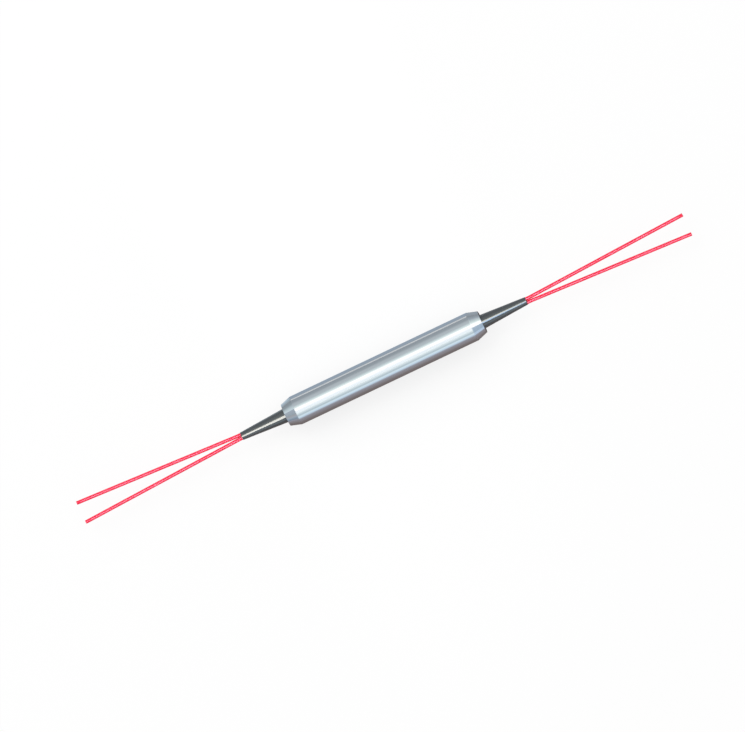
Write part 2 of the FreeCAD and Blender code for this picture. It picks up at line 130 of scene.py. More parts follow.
# Sockets of a colour mix node: its factor, its two colours and its result
MIX_FACTOR = 0
MIX_ONE = 6
MIX_OTHER = 7
MIX_RESULT = 2


class Nodes:
    """A node tree and the few calls that build it."""

    def __init__(self, tree):
        self.tree = tree

    def feed(self, socket, value):
        """Links a value that comes from another node, or sets a plain one on the socket."""
        if isinstance(value, bpy.types.NodeSocket):
            self.tree.links.new(value, socket)
        else:
            socket.default_value = value

    def add(self, kind, inputs=None, **settings):
        """A new node with its settings, fed by the names or numbers of its inputs."""
        node = self.tree.nodes.new(kind)
        for name, value in settings.items():
            setattr(node, name, value)
        for name, value in (inputs or {}).items():
            self.feed(node.inputs[name], value)
        return node

    def maths(self, operation, *values, clamp=False):
        """The result of an operation on one to three values."""
        inputs = dict(enumerate(values))
        return self.add("ShaderNodeMath", inputs, operation=operation, use_clamp=clamp).outputs[0]

    def mix(self, factor, one, other):
        """One colour at a factor of 0, the other at 1, and both between."""
        inputs = {MIX_FACTOR: factor, MIX_ONE: one, MIX_OTHER: other}
        return self.add("ShaderNodeMix", inputs, data_type="RGBA").outputs[MIX_RESULT]

    def ramp(self, factor, *stops):
        """A grey that runs through stops, each a position and a level."""
        node = self.add("ShaderNodeValToRGB", {"Fac": factor})
        bar = node.color_ramp.elements
        while len(bar) < len(stops):
            bar.new(0.5)
        for element, (position, level) in zip(bar, stops):
            element.position = position
            element.color = (level, level, level, 1)
        return node.outputs["Color"]


def node_group(name, inputs, outputs):
    """A shader node group: its Nodes, the values it is given and the sockets it puts out."""
    tree = bpy.data.node_groups.new(name, "ShaderNodeTree")
    for label, kind, value in inputs:
        socket = tree.interface.new_socket(label, in_out="INPUT", socket_type=kind)
        socket.default_value = value
    for label, kind in outputs:
        tree.interface.new_socket(label, in_out="OUTPUT", socket_type=kind)
    inner = Nodes(tree)
    return inner, inner.add("NodeGroupInput").outputs, inner.add("NodeGroupOutput").inputs


def fine_lines_group():
    """Fine lines along X or round it: a height for the bump and a mask of their tone."""
    inner, given, out = node_group(
        "fine_lines",
        [("Stretch", "NodeSocketVector", (1.0, 1.0, 1.0)), ("Scale", "NodeSocketFloat", 1.0)],
        [("Height", "NodeSocketFloat"), ("Tone", "NodeSocketFloat")])
    place = inner.add("ShaderNodeTexCoord").outputs["Object"]
    stretched = inner.add("ShaderNodeVectorMath", {0: place, 1: given["Stretch"]},
                          operation="MULTIPLY").outputs[0]
    fine = inner.add("ShaderNodeTexNoise", {
        "Vector": stretched, "Scale": given["Scale"], "Detail": 4.0, "Roughness": 0.6})
    broad_scale = inner.maths("MULTIPLY", given["Scale"], 0.17)
    broad = inner.add("ShaderNodeTexNoise", {
        "Vector": stretched, "Scale": broad_scale, "Detail": 2.0, "Roughness": 0.5})
    both = inner.maths("MULTIPLY", fine.outputs["Fac"], broad.outputs["Fac"])
    inner.feed(out["Height"], both)
    inner.feed(out["Tone"], inner.ramp(both, (0.12, 0.0), (0.42, 1.0)))
    return inner.tree


def mottling_group():
    """Slow, cloudy variation between a low and a high value."""
    inner, given, out = node_group(
        "mottling",
        [("Scale", "NodeSocketFloat", 400.0), ("Low", "NodeSocketFloat", 0.0),
         ("High", "NodeSocketFloat", 1.0)],
        [("Value", "NodeSocketFloat"), ("Mask", "NodeSocketFloat")])
    place = inner.add("ShaderNodeTexCoord").outputs["Object"]
    cloud = inner.add("ShaderNodeTexNoise", {
        "Vector": place, "Scale": given["Scale"], "Detail": 5.0, "Roughness": 0.55})
    mask = inner.add("ShaderNodeMapRange", {
        "Value": cloud.outputs["Fac"], "From Min": 0.32, "From Max": 0.68},
        interpolation_type="SMOOTHSTEP").outputs["Result"]
    span = inner.maths("SUBTRACT", given["High"], given["Low"])
    inner.feed(out["Value"], inner.maths("MULTIPLY_ADD", mask, span, given["Low"]))
    inner.feed(out["Mask"], mask)
    return inner.tree


def specks_group():
    """Small scattered specks, as dust or pits: a mask that is 1 on a speck."""
    inner, given, out = node_group(
        "specks",
        [("Scale", "NodeSocketFloat", 3000.0), ("Share", "NodeSocketFloat", 0.1)],
        [("Mask", "NodeSocketFloat")])
    place = inner.add("ShaderNodeTexCoord").outputs["Object"]
    cells = inner.add("ShaderNodeTexVoronoi", {
        "Vector": place, "Scale": given["Scale"], "Randomness": 1.0}, feature="F1")
    size = inner.maths("MULTIPLY", given["Share"], 2.0)
    spot = inner.add("ShaderNodeMapRange", {
        "Value": cells.outputs["Distance"], "From Min": 0.0, "From Max": size,
        "To Min": 1.0, "To Max": 0.0}).outputs["Result"]
    pick = inner.add("ShaderNodeSeparateColor", {"Color": cells.outputs["Color"]})
    chosen = inner.maths("LESS_THAN", pick.outputs[0], given["Share"])
    inner.feed(out["Mask"], inner.maths("MULTIPLY", spot, chosen, clamp=True))
    return inner.tree


def worn_edges_group():
    """Where an edge stands out and has been rubbed: a mask broken up by fine noise."""
    inner, given, out = node_group(
        "worn_edges", [("Amount", "NodeSocketFloat", 1.0)], [("Mask", "NodeSocketFloat")])
    raised = inner.add("ShaderNodeNewGeometry").outputs["Pointiness"]
    edge = inner.add("ShaderNodeMapRange", {
        "Value": raised, "From Min": 0.53, "From Max": 0.6}).outputs["Result"]
    place = inner.add("ShaderNodeTexCoord").outputs["Object"]
    breakup = inner.add("ShaderNodeTexNoise", {
        "Vector": place, "Scale": 1800.0, "Detail": 3.0}).outputs["Fac"]
    worn = inner.maths("MULTIPLY", edge, breakup)
    inner.feed(out["Mask"], inner.maths("MULTIPLY", worn, given["Amount"], clamp=True))
    return inner.tree


FINE_LINES = fine_lines_group()
MOTTLING = mottling_group()
SPECKS = specks_group()
WORN_EDGES = worn_edges_group()


def principled(name, **constants):
    """A new material, its Nodes and its shader's inputs, with plain values set directly."""
    material = bpy.data.materials.new(name)
    material.use_nodes = True
    shader = material.node_tree.nodes["Principled BSDF"]
    for socket, value in constants.items():
        shader.inputs[socket.replace("_", " ")].default_value = value
    return material, Nodes(material.node_tree), shader.inputs


def placed(tree, group, **inputs):
    """Puts a node group into a material with this material's own values."""
    return tree.add("ShaderNodeGroup", inputs, node_tree=group).outputs


def connect(tree, shader, colour, roughness, height, strength, depth):
    """Feeds a shader its colour, its roughness and a bump, which is depth metres high."""
    normal = tree.add("ShaderNodeBump", {
        "Height": height, "Strength": strength, "Distance": depth}).outputs["Normal"]
    tree.feed(shader["Base Color"], colour)
    tree.feed(shader["Roughness"], roughness)
    tree.feed(shader["Normal"], normal)


def steel(name, colour, dull_colour, roughness, stretch, scale, depth):
    """Stainless steel with lines from its finishing, faint clouding, dust and rubbed edges."""
    material, tree, shader = principled(name, Metallic=1.0)
    lines = placed(tree, FINE_LINES, Stretch=stretch, Scale=scale)
    clouds = placed(tree, MOTTLING, Scale=260.0, Low=roughness[0], High=roughness[1])
    dust = placed(tree, SPECKS, Scale=2200.0, Share=0.015)["Mask"]
    worn = placed(tree, WORN_EDGES, Amount=0.6)["Mask"]
    toned = tree.mix(lines["Tone"], dull_colour, colour)
    rubbed = tree.mix(worn, toned, (0.92, 0.93, 0.94, 1))
    dulled = tree.maths("MULTIPLY_ADD", dust, 0.04, clouds["Value"])
    connect(tree, shader, rubbed, dulled, lines["Height"], 0.12, depth)
    return material


def rubber(name):
    """Dark grey rubber, glossy from its mould, with a fine grain and pale dust."""
    material, tree, shader = principled(name, Specular_IOR_Level=0.8, Coat_Weight=0.9,
                                        Coat_Roughness=0.06, Coat_IOR=1.6)
    clouds = placed(tree, MOTTLING, Scale=500.0, Low=0.09, High=0.14)
    grain = placed(tree, MOTTLING, Scale=9000.0)["Mask"]
    dust = placed(tree, SPECKS, Scale=1800.0, Share=0.06)["Mask"]
    worn = placed(tree, WORN_EDGES, Amount=0.5)["Mask"]
    base = tree.mix(clouds["Mask"], (0.038, 0.042, 0.043, 1), (0.047, 0.051, 0.052, 1))
    dusty = tree.mix(tree.maths("MULTIPLY", dust, 0.35), base, (0.30, 0.30, 0.29, 1))
    rubbed = tree.mix(worn, dusty, (0.13, 0.14, 0.14, 1))
    connect(tree, shader, rubbed, clouds["Value"], grain, 0.05, 0.0000003)
    return material


def loose_tube(name):
    """Extruded red tube: satin, a little clouded in colour, with draw lines along it."""
    material, tree, shader = principled(name, Specular_IOR_Level=0.45)
    lines = placed(tree, FINE_LINES, Stretch=(0.02, 1.0, 1.0), Scale=9000.0)
    clouds = placed(tree, MOTTLING, Scale=220.0, Low=0.27, High=0.31)
    toned = tree.mix(clouds["Mask"], (0.85, 0.010, 0.052, 1), (0.86, 0.012, 0.056, 1))
    faint = tree.maths("MULTIPLY", lines["Tone"], 0.1)
    streaked = tree.mix(faint, toned, (0.88, 0.022, 0.072, 1))
    connect(tree, shader, streaked, clouds["Value"], lines["Height"], 0.03, 0.0000001)
    return material


def cast(name, colour, pale, roughness, grain_scale, **constants):
    """A cast or moulded inner material: clouded colour, fine grain and a few pits."""
    material, tree, shader = principled(name, **constants)
    clouds = placed(tree, MOTTLING, Scale=700.0, Low=roughness[0], High=roughness[1])
    grain = placed(tree, MOTTLING, Scale=grain_scale)["Mask"]
    pits = placed(tree, SPECKS, Scale=2600.0, Share=0.08)["Mask"]
    toned = tree.mix(clouds["Mask"], colour, pale)
    pitted = tree.mix(tree.maths("MULTIPLY", pits, 0.4), toned, colour)
    height = tree.maths("SUBTRACT", grain, pits)
    connect(tree, shader, pitted, clouds["Value"], height, 0.15, 0.000005)
    return material


POLISHED_STEEL = steel("polished_steel", (0.86, 0.87, 0.88, 1), (0.80, 0.815, 0.83, 1),
                       (0.10, 0.14), (0.03, 1.0, 1.0), 5200.0, 0.0000003)
TURNED_STEEL = steel("turned_steel", (0.86, 0.87, 0.88, 1), (0.79, 0.81, 0.83, 1),
                     (0.10, 0.14), (1.0, 0.03, 0.03), 6500.0, 0.0000003)
DRAWN_STEEL = steel("drawn_steel", (0.74, 0.75, 0.76, 1), (0.62, 0.64, 0.66, 1),
                    (0.24, 0.36), (0.02, 1.0, 1.0), 6000.0, 0.000004)
BOOT_RUBBER = rubber("boot_rubber")
RED_TUBE = loose_tube("red_loose_tube")
FIBRE_COATING = cast("fibre_coating", (0.72, 0.70, 0.60, 1), (0.86, 0.85, 0.78, 1),
                     (0.18, 0.3), 6000.0, Coat_Weight=0.5, Coat_Roughness=0.1)
BARE_GLASS = cast("bare_glass", (0.93, 0.96, 0.97, 1), (1.0, 1.0, 1.0, 1), (0.02, 0.05),
                  3000.0, Transmission_Weight=1.0, IOR=1.458)
QUARTZ = cast("quartz", (0.94, 0.97, 0.98, 1), (1.0, 1.0, 1.0, 1), (0.03, 0.08), 2500.0,
              Transmission_Weight=0.95, IOR=1.46)
EPOXY = cast("epoxy", (0.62, 0.45, 0.16, 1), (0.80, 0.66, 0.34, 1), (0.12, 0.24), 5000.0,
             Transmission_Weight=0.35, IOR=1.54)
SILICONE = cast("silicone", (0.74, 0.74, 0.72, 1), (0.86, 0.86, 0.84, 1), (0.38, 0.52),
                7000.0, Subsurface_Weight=0.1, Subsurface_Scale=0.001)
RING_PLASTIC = cast("ring_plastic", (0.70, 0.69, 0.64, 1), (0.80, 0.79, 0.75, 1),
                    (0.35, 0.5), 4500.0)

# CAD nodes that stay in the visual model, with their materials
CARRIED_OVER = {
    "inner_steel_tube": DRAWN_STEEL,
    "quartz_sleeve": QUARTZ,
    "quartz_substrate": QUARTZ,
    "fused_fibre_pair": BARE_GLASS,
}
for end in ENDS:
    CARRIED_OVER[f"{end}_tube_anchor"] = EPOXY
    CARRIED_OVER[f"{end}_fibre_bond"] = EPOXY
    CARRIED_OVER[f"{end}_inner_seal"] = SILICONE
    CARRIED_OVER[f"{end}_sleeve_plug"] = SILICONE
    CARRIED_OVER[f"{end}_support_ring"] = RING_PLASTIC
    for lead in LEADS:
        CARRIED_OVER[f"{end}_{lead}_coated_fibre"] = FIBRE_COATING
for name, material in CARRIED_OVER.items():
    nodes[name].data.materials.clear()
    nodes[name].data.materials.append(material)


# Modelling helpers

def deselect():
    """Leaves edit mode and selects nothing."""
    if bpy.context.object and bpy.context.object.mode != "OBJECT":
        bpy.ops.object.mode_set(mode="OBJECT")
    bpy.ops.object.select_all(action="DESELECT")


def only(piece):
    """Selects this piece alone."""
    deselect()
    piece.select_set(True)
    bpy.context.view_layer.objects.active = piece


def to_metres(piece):
    """Brings a mesh drawn in millimetres to metres, with its place kept in the mesh."""
    only(piece)
    piece.scale = (MM, MM, MM)
    bpy.ops.object.transform_apply(location=True, rotation=True, scale=True)


def turned(name, rings, solid=False):
    """A turned piece round X: one circle drawn out from corner to corner.

    A solid piece has a flat face at both ends. Another goes back to its first corner."""
    deselect()
    x, radius = rings[0]
    bpy.ops.mesh.primitive_circle_add(
        vertices=FACES_AROUND, radius=radius, fill_type="NGON" if solid else "NOTHING",
        location=(x, 0, 0), rotation=(0, QUARTER_TURN, 0))
    piece = bpy.context.object
    piece.name = piece.data.name = name
    bpy.ops.object.transform_apply(location=True, rotation=True, scale=True)
    bpy.ops.object.mode_set(mode="EDIT")
    bpy.ops.mesh.select_all(action="SELECT")
    corners = rings[1:] if solid else [*rings[1:], rings[0]]
    for next_x, next_radius in corners:
        bpy.ops.mesh.extrude_region_move(
            TRANSFORM_OT_translate={"value": (next_x - x, 0, 0)})
        if next_radius != radius:
            grow = next_radius / radius
            bpy.ops.transform.resize(value=(1, grow, grow), center_override=(next_x, 0, 0))
        x, radius = next_x, next_radius
    bpy.ops.mesh.select_all(action="SELECT")
    if not solid:
        bpy.ops.mesh.remove_doubles(threshold=0.0001)
    bpy.ops.mesh.normals_make_consistent(inside=False)
    bpy.ops.object.mode_set(mode="OBJECT")
    return piece


def held_slope(start, start_radius, stop, stop_radius):
    """Two rings just inside the ends of a slope."""
    rate = (stop_radius - start_radius) / (stop - start)
    return [(start + HELD, start_radius + rate * HELD), (stop - HELD, stop_radius - rate * HELD)]


def rounded(piece, width, segments=3, angle=12):
    """Breaks the edges of a piece that are sharper than the angle by a small round."""
    only(piece)
    bevel = piece.modifiers.new("broken_edges", "BEVEL")
    bevel.width = width
    bevel.segments = segments
    bevel.limit_method = "ANGLE"
    bevel.angle_limit = math.radians(angle)
    bpy.ops.object.modifier_apply(modifier=bevel.name)


def smooth(piece, angle=30):
    """Shades a piece smooth, apart from the edges that are sharper than the angle."""
    only(piece)
    bpy.ops.object.shade_smooth_by_angle(angle=math.radians(angle))


def dressed(piece, material, slot, *replaced):
    """Gives a piece its material and puts it in place of the CAD nodes that it replaces."""
    piece.data.materials.clear()
    piece.data.materials.append(material)
    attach(piece, "root")
    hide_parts(*replaced)


def other_end(piece, name):
    """The same piece for the left end, turned half round the upright axis."""
    only(piece)
    bpy.ops.object.duplicate()
    copy = bpy.context.object
    copy.name = copy.data.name = name
    copy.rotation_euler = (0, 0, HALF_TURN)
    bpy.ops.object.transform_apply(location=True, rotation=True, scale=True)
    return copy


# The four pigtails

ROUTE = [
    (PIGTAIL_START, TUBE_OFFSET, 0),
    (BOOT_TIP, TUBE_OFFSET, 0),
    (CORNER, TUBE_OFFSET, 0),
    PAST_CORNER,
    PIGTAIL_END,
]


def route_of(end, lead):
    """The centreline of a loose tube as a curve."""
    line = bpy.data.curves.new(f"{end}_{lead}_route", "CURVE")
    line.dimensions = "3D"
    spline = line.splines.new("NURBS")
    spline.points.add(len(ROUTE) - 1)
    for point, (x, y, z) in zip(spline.points, ROUTE):
        point.co = (ENDS[end] * x * MM, LEADS[lead] * y * MM, z * MM, 1)
    spline.order_u = 3
    spline.use_endpoint_u = True
    line.resolution_u = 32
    carrier = bpy.data.objects.new(f"{end}_{lead}_pigtail", line)
    bpy.context.scene.collection.objects.link(carrier)
    return carrier


def hold_before_cut(mirrored):
    """Adds a ring to the tube being edited, just before its cut end.

    Mirrored has the signs of its X, Y and Z against those of the right upper tube."""
    share = HELD / math.dist(PAST_CORNER, PIGTAIL_END)
    before_cut = [last + share * (first - last) for first, last in zip(PAST_CORNER, PIGTAIL_END)]
    along = [last - first for first, last in zip(PAST_CORNER, PIGTAIL_END)]
    bpy.ops.mesh.select_all(action="SELECT")
    bpy.ops.mesh.bisect(
        plane_co=[sign * place for sign, place in zip(mirrored, before_cut)],
        plane_no=[sign * step for sign, step in zip(mirrored, along)])


def pigtail(end, lead):
    """A hollow loose tube along its route, round the coated fibre of the CAD model."""
    side, row = ENDS[end], LEADS[lead]
    carrier = route_of(end, lead)
    centreline = bpy.data.meshes.new_from_object(carrier)
    bpy.data.meshes.remove(centreline)
    line = carrier.data
    line.bevel_depth = TUBE_RADIUS * MM
    line.bevel_resolution = 14
    only(carrier)
    bpy.ops.object.convert(target="MESH")
    tube = bpy.context.object
    bpy.ops.object.mode_set(mode="EDIT")
    bpy.ops.mesh.select_all(action="SELECT")
    bpy.ops.transform.resize(value=(1 / MM, 1 / MM, 1 / MM), center_override=(0, 0, 0))
    bpy.ops.mesh.normals_make_consistent(inside=False)
    bpy.ops.object.mode_set(mode="OBJECT")
    wall = tube.modifiers.new("wall", "SOLIDIFY")
    wall.thickness = TUBE_WALL
    wall.offset = -1
    bpy.ops.object.modifier_apply(modifier=wall.name)
    bpy.ops.object.mode_set(mode="EDIT")
    hold_before_cut((side, row, 1))
    bpy.ops.object.mode_set(mode="OBJECT")
    rounded(tube, TUBE_BREAK, segments=2, angle=50)
    to_metres(tube)
    smooth(tube, 40)
    dressed(tube, RED_TUBE, "red_loose_tube", f"{end}_{lead}_pigtail_tube")
    return tube


tubes = [pigtail(end, lead) for end in ENDS for lead in LEADS]


# Housing and caps

housing = turned("housing_barrel", [
    (-TUBE_END, HOUSING_RADIUS), (HELD - TUBE_END, HOUSING_RADIUS),
    (TUBE_END - HELD, HOUSING_RADIUS), (TUBE_END, HOUSING_RADIUS),
    (TUBE_END, HOUSING_BORE), (-TUBE_END, HOUSING_BORE)])
rounded(housing, HOUSING_BREAK)
to_metres(housing)
smooth(housing)
dressed(housing, POLISHED_STEEL, "polished_steel", "housing_tube")

# From its shoulder down the cone and over the face, then through the mouth and the
# counterbore and back along the spigot
right_cap = turned("right_cap", [
    (TUBE_END, HOUSING_RADIUS),
    *held_slope(TUBE_END, HOUSING_RADIUS, CAP_FACE, CAP_FACE_RADIUS),
    (CAP_FACE, CAP_FACE_RADIUS), (CAP_FACE, CAP_FACE_RADIUS - HELD),
    (CAP_FACE, CAP_MOUTH + HELD), (CAP_FACE, CAP_MOUTH),
    (CAP_SHELF, CAP_MOUTH), (CAP_SHELF, COUNTERBORE), (SPIGOT_END, COUNTERBORE),
    (SPIGOT_END, SPIGOT_RADIUS), (TUBE_END, SPIGOT_RADIUS)])
rounded(right_cap, CAP_BREAK)
to_metres(right_cap)
smooth(right_cap)
left_cap = other_end(right_cap, "left_cap")
dressed(right_cap, TURNED_STEEL, "polished_steel", "right_end_cap")
dressed(left_cap, TURNED_STEEL, "polished_steel", "left_end_cap")


# Boots

def slot_cutter():
    """A bar longer than a boot, in the shape of the two tubes side by side."""
    deselect()
    bpy.ops.mesh.primitive_cylinder_add(
        vertices=FACES_AROUND // 2, radius=TUBE_RADIUS + SLOT_CLEARANCE, depth=CUTTER_LENGTH,
        location=(CUTTER_MIDDLE, 0, 0), rotation=(0, QUARTER_TURN, 0))
    bar = bpy.context.object
    bpy.ops.object.transform_apply(location=True, rotation=True, scale=True)
    for row in (1, -1):
        bpy.ops.object.mode_set(mode="EDIT")
        bpy.ops.mesh.select_all(action="DESELECT")
        bpy.ops.object.mode_set(mode="OBJECT")
        for vertex in bar.data.vertices:
            vertex.select = row * vertex.co.y > 0.001
        bpy.ops.object.mode_set(mode="EDIT")
        bpy.ops.transform.translate(value=(0, row * TUBE_OFFSET, 0))
        bpy.ops.object.mode_set(mode="OBJECT")
    return bar


# From the flange behind the cap's shelf through its mouth on the neck, then down the cone
right_boot = turned("right_rubber_boot", [
    (BOOT_INNER_END, BOOT_FLANGE), (CAP_SHELF, BOOT_FLANGE), (CAP_SHELF, BOOT_NECK),
    (CAP_FACE, BOOT_NECK), *held_slope(CAP_FACE, BOOT_NECK, BOOT_TIP, BOOT_TIP_RADIUS),
    (BOOT_TIP, BOOT_TIP_RADIUS)], solid=True)
rounded(right_boot, BOOT_BREAK, angle=20)
cutter = slot_cutter()
only(right_boot)
bore = right_boot.modifiers.new("tube_bore", "BOOLEAN")
bore.operation = "DIFFERENCE"
bore.solver = "EXACT"
bore.object = cutter
bpy.ops.object.modifier_apply(modifier=bore.name)
bpy.data.objects.remove(cutter)
to_metres(right_boot)
smooth(right_boot)
left_boot = other_end(right_boot, "left_rubber_boot")
dressed(right_boot, BOOT_RUBBER, "boot_rubber", "right_boot")
dressed(left_boot, BOOT_RUBBER, "boot_rubber", "left_boot")


# Floor and light

def stage_material(name):
    """A material without a shader: itself, its Nodes and its output node."""
    material = bpy.data.materials.new(name)
    material.use_nodes = True
    material.node_tree.nodes.remove(material.node_tree.nodes["Principled BSDF"])
    return material, Nodes(material.node_tree), material.node_tree.nodes["Material Output"]


def place_in(tree):
    """The X, Y and Z of a point of the object, in metres."""
    place = tree.add("ShaderNodeTexCoord").outputs["Object"]
    return tree.add("ShaderNodeSeparateXYZ", {0: place}).outputs


def seen_directly(tree):
    """1 for the camera, for reflections and through glass, and 0 where it only lights."""
    path = tree.add("ShaderNodeLightPath").outputs
    seen = tree.maths("MAXIMUM", path["Is Camera Ray"], path["Is Glossy Ray"])
    return tree.maths("MAXIMUM", seen, path["Is Transmission Ray"])


# The white that the floor is seen in, the brightness that lamps and sky give it, and the
# share of its look that they give beside the housing and beyond it. Its glow gives the rest.
WHITE_SEEN = 0.991
LIT_FLOOR = 0.785
LIT_BESIDE = 0.29
LIT_BEYOND = 0.10


def make_floor():
    """A light table: the same white all over, with a pale shadow, fainter past the housing."""
    material, tree, output = stage_material("pale_floor")
    from_middle = tree.maths("ABSOLUTE", place_in(tree)["X"])
    lit_share = tree.add("ShaderNodeMapRange", {
        "Value": from_middle, "From Min": 0.7 * TUBE_END * MM, "From Max": 1.8 * TUBE_END * MM,
        "To Min": LIT_BESIDE, "To Max": LIT_BEYOND},
        interpolation_type="SMOOTHSTEP").outputs["Result"]
    glow_share = tree.maths("SUBTRACT", 1.0, lit_share)
    missing = tree.maths("MULTIPLY_ADD", lit_share, -LIT_FLOOR, WHITE_SEEN)
    glow = tree.add("ShaderNodeEmission", {
        "Color": (1, 1, 1, 1), "Strength": tree.maths("DIVIDE", missing, glow_share)})
    lit = tree.add("ShaderNodeBsdfDiffuse", {"Color": (0.82, 0.82, 0.82, 1)})
    share = tree.maths("MULTIPLY", seen_directly(tree), glow_share)
    mixed = tree.add("ShaderNodeMixShader", {0: share, 1: lit.outputs[0], 2: glow.outputs[0]})
    tree.feed(output.inputs["Surface"], mixed.outputs[0])
    deselect()
    bpy.ops.mesh.primitive_plane_add(size=6, location=(0, 0, FLOOR * MM))
    floor = bpy.context.object
    floor.name = "floor"
    floor.data.materials.append(material)


def card_material(name, start, stop, first, last, hung=False, sheer=False):
    """A glow that runs evenly from its first colour to its last.

    On a card hung over the coupler it runs between two angles round X, in degrees from
    straight up towards -Y. On a card on the floor or across an end it runs along Y, in
    millimetres. A sheer card adds its glow to what is behind it."""
    material, tree, output = stage_material(name)
    place = place_in(tree)
    if hung:
        across = tree.maths("ARCTAN2", tree.maths("MULTIPLY", place["Y"], -1.0), place["Z"])
        ends = math.radians(start), math.radians(stop)
    else:
        across = place["Y"]
        ends = start * MM, stop * MM
    share = tree.add("ShaderNodeMapRange", {
        "Value": across, "From Min": ends[0], "From Max": ends[1]})
    colour = tree.mix(share.outputs["Result"], (*first, 1), (*last, 1))
    glow = tree.add("ShaderNodeEmission", {"Color": colour, "Strength": 1.0}).outputs[0]
    if sheer:
        clear = tree.add("ShaderNodeBsdfTransparent").outputs[0]
        glow = tree.add("ShaderNodeAddShader", {0: glow, 1: clear}).outputs[0]
    tree.feed(output.inputs["Surface"], glow)
    material.cycles.emission_sampling = "NONE"
    return material


def set_up_card(name, material, size):
    """Finishes the plane or cylinder just added, so that only reflections see it."""
    card = bpy.context.object
    card.name = card.data.name = name
    card.scale = size
    bpy.ops.object.transform_apply(location=True, rotation=True, scale=True)
    card.data.materials.append(material)
    card.visible_camera = False
    card.visible_diffuse = False
    card.visible_shadow = False
    card.visible_transmission = False
    card.visible_volume_scatter = False
    return card


# The tent: where its cards hang, how far its three parts reach along X and where the cards
# across its ends stand. The cloth is outside them all.
TENT_RADIUS = 0.5
SHEER_RADIUS = 0.97 * TENT_RADIUS
MIDDLE = (-0.2, 0.13)
LEFT = (-0.9, -0.2)
RIGHT = (0.13, 0.9)
WHOLE = (-0.9, 0.9)
END_WALL = 0.88
CLOTH_RADIUS = 0.6
CLOTH_LENGTH = 1.8
CLOTH_COLOUR = (0.42, 0.50, 0.60)


def hang(name, reach, start, stop, first, last, radius=TENT_RADIUS, sheer=False):
    """A card over the coupler, flat between two angles and running along X."""
    material = card_material(name, start, stop, first, last, hung=True, sheer=sheer)
    middle, half = math.radians((start + stop) / 2), math.radians((stop - start) / 2)
    away = radius * math.cos(half)
    deselect()
    bpy.ops.mesh.primitive_plane_add(
        size=1, rotation=(middle, 0, 0),
        location=(sum(reach) / 2, -math.sin(middle) * away, math.cos(middle) * away))
    return set_up_card(name, material, (reach[1] - reach[0], 2 * radius * math.sin(half), 1))


def only_lights(light, pieces):
    """Lets only these pieces catch the light of a lamp or card."""
    receivers = bpy.data.collections.new(f"{light.name}_receivers")
    for piece in pieces:
        receivers.objects.link(piece)
    light.light_linking.receiver_collection = receivers


def shine_on(pieces, name, *card, satin=False):
    """A sheer card in front of the others, which only these pieces reflect.

    For satin pieces the render samples the card as a light, which keeps its line even."""
    sheer_card = hang(name, *card, radius=SHEER_RADIUS, sheer=True)
    only_lights(sheer_card, pieces)
    if satin:
        sheer_card.data.materials[0].cycles.emission_sampling = "FRONT_BACK"


# How far a card lies over the floor, and one on top of a wider card
LIFT = 0.04
ON_TOP = 0.08


def lay(name, reach, near, far, first, last, lift=LIFT):
    """A card on the floor, in millimetres."""
    material = card_material(name, near, far, first, last)
    deselect()
    bpy.ops.mesh.primitive_plane_add(
        size=1, location=(sum(reach) / 2 * MM, (near + far) / 2 * MM, (FLOOR + lift) * MM))
    set_up_card(name, material, ((reach[1] - reach[0]) * MM, (far - near) * MM, 1))


def stand(name, side, near, far, first, last):
    """A card across one end of the tent, in millimetres along Y."""
    material = card_material(name, near, far, first, last)
    deselect()
    bpy.ops.mesh.primitive_plane_add(
        size=1, rotation=(0, QUARTER_TURN, 0),
        location=(side * END_WALL, (near + far) / 2 * MM, TENT_RADIUS / 2))
    set_up_card(name, material, (1.2 * TENT_RADIUS, (far - near) * MM, 1))


def tent_cloth():
    """The even cool cloth behind the cards and at the tent's two ends."""
    material = card_material("tent_cloth", -90, 90, CLOTH_COLOUR, CLOTH_COLOUR, hung=True)
    deselect()
    bpy.ops.mesh.primitive_cylinder_add(
        vertices=48, radius=CLOTH_RADIUS, depth=CLOTH_LENGTH, end_fill_type="NGON",
        rotation=(0, QUARTER_TURN, 0))
    set_up_card("tent_cloth", material, (1, 1, 1))


tent_cloth()

# Cards over the coupler: each has its part of the tent, its two angles and its two colours
hang("far_wall", MIDDLE, -90, -68, (0.31, 0.35, 0.39), (0.34, 0.385, 0.42))
hang("far_rise", MIDDLE, -68, -52, (0.34, 0.385, 0.42), (0.49, 0.545, 0.58))
hang("far_shelf", MIDDLE, -52, -38, (0.49, 0.545, 0.58), (0.52, 0.58, 0.62))
hang("far_glow", MIDDLE, -38, -26, (0.52, 0.58, 0.62), (0.70, 0.82, 0.83))
hang("far_bright", MIDDLE, -26, -14, (0.70, 0.82, 0.83), (1.12, 1.18, 1.17))
hang("key_softbox", MIDDLE, -14, 0, (1.4, 1.4, 1.4), (1.25, 1.25, 1.25))
hang("key_edge", MIDDLE, 0, 11, (1.25, 1.25, 1.25), (1.0, 1.07, 1.13))
hang("fill_softbox", MIDDLE, 11, 24, (1.0, 1.07, 1.13), (1.0, 1.09, 1.11))
hang("fill_edge", MIDDLE, 24, 46, (0.93, 1.02, 1.04), (0.49, 0.60, 0.665))
hang("near_rise", MIDDLE, 46, 55, (0.50, 0.61, 0.67), (0.79, 0.93, 0.98))
hang("near_strip", MIDDLE, 55, 68, (0.78, 0.93, 1.03), (0.62, 0.78, 0.93))
hang("near_fall", MIDDLE, 68, 77, (0.60, 0.75, 0.89), (0.37, 0.37, 0.42))
hang("near_wall", WHOLE, 77, 90, (0.36, 0.36, 0.41), (0.28, 0.265, 0.295))
shine_on([left_boot], "left_boot_key", MIDDLE, -5, 30, (5.7, 5.6, 4.7), (6.5, 6.4, 6.2))
shine_on([right_boot], "right_boot_key", MIDDLE, -7, 25, (5.6, 5.4, 3.9), (2.1, 3.9, 6.9))
